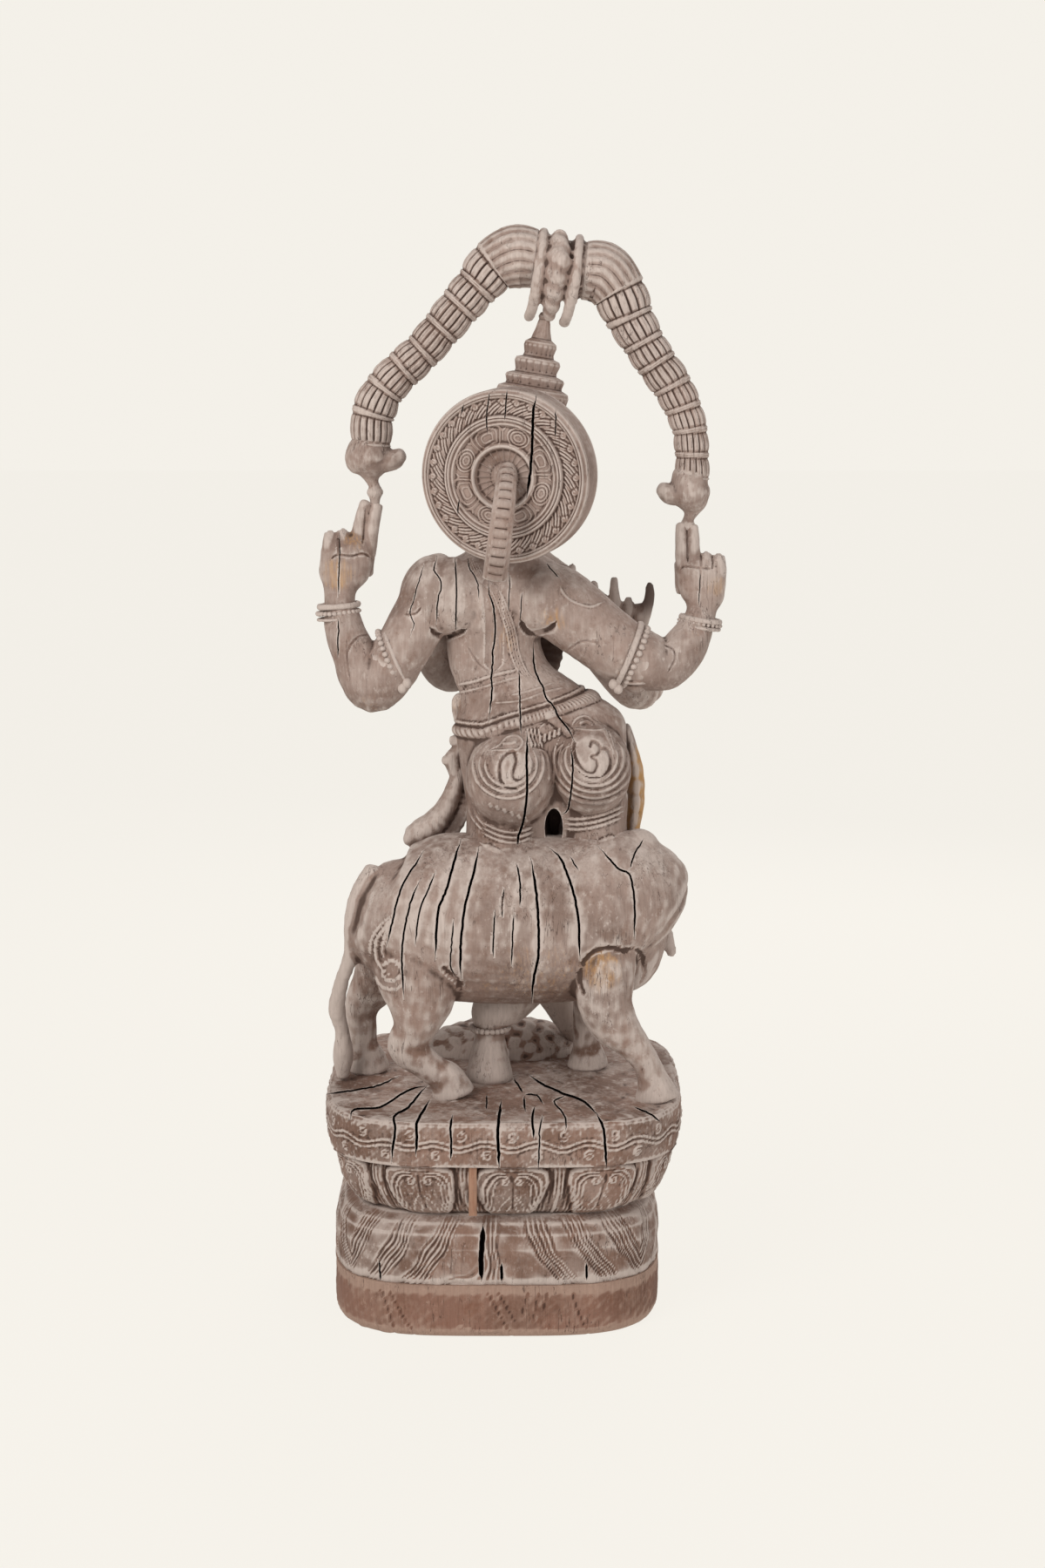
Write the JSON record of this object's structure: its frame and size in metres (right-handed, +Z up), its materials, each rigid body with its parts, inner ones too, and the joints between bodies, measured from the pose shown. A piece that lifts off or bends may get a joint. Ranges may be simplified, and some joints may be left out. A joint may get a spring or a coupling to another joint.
{
  "type": "carved wooden temple statue",
  "caption": "Carved wooden four-armed flute player before a standing cow, with a head disc and a garland arch, on a lotus pedestal.",
  "frame": {"origin": "on the underside of the foot block, straight below the middle of the slab that the figures stand on", "axes": "+Z up; +Y the way the flute player faces, so that the back and the cow's near flank face -Y; +X towards the cow's chest"},
  "size_m": [0.6869, 0.6, 1.8074],
  "materials": {
    "carved_wood": "old carved wood, weathered matt grey-brown, dusty on the high places and dark in the cuts and drying cracks",
    "repair_wood": "straight-grained redder let-in strip, matt",
    "foot_wood": "plain redder block, scratched and matt"
  },
  "bodies": {
    "root": {"carving": "carved_wood", "repair_fillet": "repair_wood", "foot_block": "foot_wood"}
  },
  "joints": []
}
